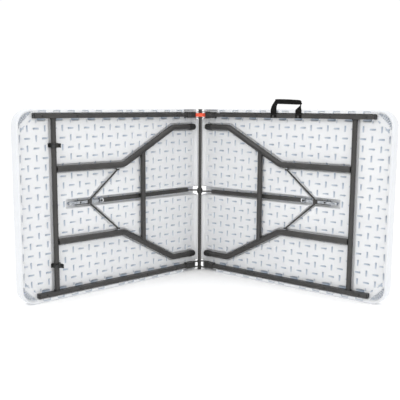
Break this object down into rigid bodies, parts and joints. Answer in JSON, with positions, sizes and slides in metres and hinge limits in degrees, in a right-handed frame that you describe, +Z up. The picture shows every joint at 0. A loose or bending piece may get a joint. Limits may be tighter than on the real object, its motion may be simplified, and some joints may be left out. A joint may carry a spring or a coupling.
{
  "type": "folding table",
  "caption": "Fold-in-half utility table with a moulded plastic top, folding steel legs, a centre hinge and a strap handle.",
  "frame": {"origin": "centre of the footprint of the half-open table, on the ground, with the table standing on its long edges", "axes": "+Z up, along the table's width; +X from the left half to the right half; -Y towards the open side of the V, where the underside shows"},
  "size_m": [1.4324, 0.618, 0.782],
  "materials": {
    "panel_plastic": "off-white blow-moulded polyethylene, satin",
    "dark_steel": "dark grey powder coat, satin",
    "black_plastic": "black moulded plastic",
    "orange_plastic": "orange-red moulded plastic",
    "webbing": "black woven webbing",
    "zinc": "zinc-plated steel"
  },
  "bodies": {
    "beam": {"centre_beam": "dark_steel", "beam_cap_top": "black_plastic", "beam_cap_bottom": "black_plastic", "beam_collar_top": "dark_steel", "beam_collar_bottom": "dark_steel"},
    "hinge_lock": {"hinge_lock": "orange_plastic"},
    "right_half": {"panel_right": "panel_plastic", "rail_top_right": "dark_steel", "rail_plug_top_right": "black_plastic", "hinge_bracket_top_right": "dark_steel", "rail_bottom_right": "dark_steel", "rail_plug_bottom_right": "black_plastic", "hinge_bracket_bottom_right": "dark_steel", "handle_tab_inner_right": "webbing", "handle_tab_outer_right": "webbing", "handle_rivet_inner_right": "dark_steel", "handle_rivet_outer_right": "dark_steel"},
    "leg_right": {"pivot_tube_right": "dark_steel", "crossbar_right": "dark_steel", "leg_tube_top_right": "dark_steel", "foot_cap_top_right": "black_plastic", "pivot_bush_top_right": "black_plastic", "arm_rivet_top_right": "zinc", "leg_tube_bottom_right": "dark_steel", "foot_cap_bottom_right": "black_plastic", "pivot_bush_bottom_right": "black_plastic", "arm_rivet_bottom_right": "zinc"},
    "brace_right": {"brace_tube_right": "dark_steel", "brace_channel_right": "zinc", "elbow_pin_right": "zinc"},
    "wishbone_right": {"wishbone_right": "dark_steel"},
    "ring_right": {"lock_ring_right": "zinc"},
    "left_half": {"panel_left": "panel_plastic", "rail_top_left": "dark_steel", "rail_plug_top_left": "black_plastic", "hinge_bracket_top_left": "dark_steel", "rail_bottom_left": "dark_steel", "rail_plug_bottom_left": "black_plastic", "hinge_bracket_bottom_left": "dark_steel", "snap_clip_top_left": "black_plastic", "snap_clip_bottom_left": "black_plastic"},
    "leg_left": {"pivot_tube_left": "dark_steel", "crossbar_left": "dark_steel", "leg_tube_top_left": "dark_steel", "foot_cap_top_left": "black_plastic", "pivot_bush_top_left": "black_plastic", "arm_rivet_top_left": "zinc", "leg_tube_bottom_left": "dark_steel", "foot_cap_bottom_left": "black_plastic", "pivot_bush_bottom_left": "black_plastic", "arm_rivet_bottom_left": "zinc"},
    "brace_left": {"brace_tube_left": "dark_steel", "brace_channel_left": "zinc", "elbow_pin_left": "zinc"},
    "wishbone_left": {"wishbone_left": "dark_steel"},
    "ring_left": {"lock_ring_left": "zinc"},
    "handle": {"handle_loop_right": "webbing"}
  },
  "joints": [
    {"name": "fold_right", "type": "hinge", "parent": "beam", "child": "right_half", "pos_m": [0, 0.27243, 0.37], "axis": [0, 0, 1], "range_deg": [-49.5, 40.5]},
    {"name": "fold_left", "type": "hinge", "parent": "beam", "child": "left_half", "pos_m": [0, 0.27243, 0.37], "axis": [0, 0, 1], "range_deg": [-40.5, 49.5]},
    {"name": "leg_right_open", "type": "hinge", "parent": "right_half", "child": "leg_right", "pos_m": [0.57255, -0.19817, 0.37], "axis": [0, 0, 1], "range_deg": [0, 98]},
    {"name": "brace_right_swing", "type": "hinge", "parent": "right_half", "child": "brace_right", "pos_m": [0, 0.27243, 0.37], "axis": [0, 0, 1], "range_deg": [-22.7, 0]},
    {"name": "wishbone_right_elbow", "type": "hinge", "parent": "brace_right", "child": "wishbone_right", "pos_m": [0.50646, -0.11542, 0.37], "axis": [0, 0, 1], "range_deg": [0, 177.2]},
    {"name": "ring_right_slide", "type": "slide", "parent": "brace_right", "child": "ring_right", "axis": [0.7604, -0.6494, 0], "range_m": [0, 0.1055]},
    {"name": "leg_left_open", "type": "hinge", "parent": "left_half", "child": "leg_left", "pos_m": [-0.57255, -0.19817, 0.37], "axis": [0, 0, -1], "range_deg": [0, 98]},
    {"name": "brace_left_swing", "type": "hinge", "parent": "left_half", "child": "brace_left", "pos_m": [0, 0.27243, 0.37], "axis": [0, 0, -1], "range_deg": [-22.7, 0]},
    {"name": "wishbone_left_elbow", "type": "hinge", "parent": "brace_left", "child": "wishbone_left", "pos_m": [-0.50646, -0.11542, 0.37], "axis": [0, 0, -1], "range_deg": [0, 177.2]},
    {"name": "ring_left_slide", "type": "slide", "parent": "brace_left", "child": "ring_left", "axis": [-0.7604, -0.6494, 0], "range_m": [0, 0.1055]},
    {"name": "hinge_lock_slide", "type": "slide", "parent": "beam", "child": "hinge_lock", "axis": [0, 0, 1], "range_m": [0, 0.0027]},
    {"name": "handle_swing", "type": "hinge", "parent": "right_half", "child": "handle", "pos_m": [0.33677, -0.01231, 0.7385], "axis": [0.7604, -0.6494, 0], "range_deg": [0, 60], "stiffness_Nm_per_rad": 0.4}
  ],
  "couplings": [
    {"joint": "fold_left", "follows": "fold_right", "ratio": -1},
    {"joint": "brace_right_swing", "follows": "leg_right_open", "ratio": -0.23092},
    {"joint": "wishbone_right_elbow", "follows": "leg_right_open", "ratio": 1.8068},
    {"joint": "ring_right_slide", "follows": "leg_right_open", "m_per_rad": 0.061388},
    {"joint": "brace_left_swing", "follows": "leg_left_open", "ratio": -0.23092},
    {"joint": "wishbone_left_elbow", "follows": "leg_left_open", "ratio": 1.8068},
    {"joint": "ring_left_slide", "follows": "leg_left_open", "m_per_rad": 0.061388}
  ]
}
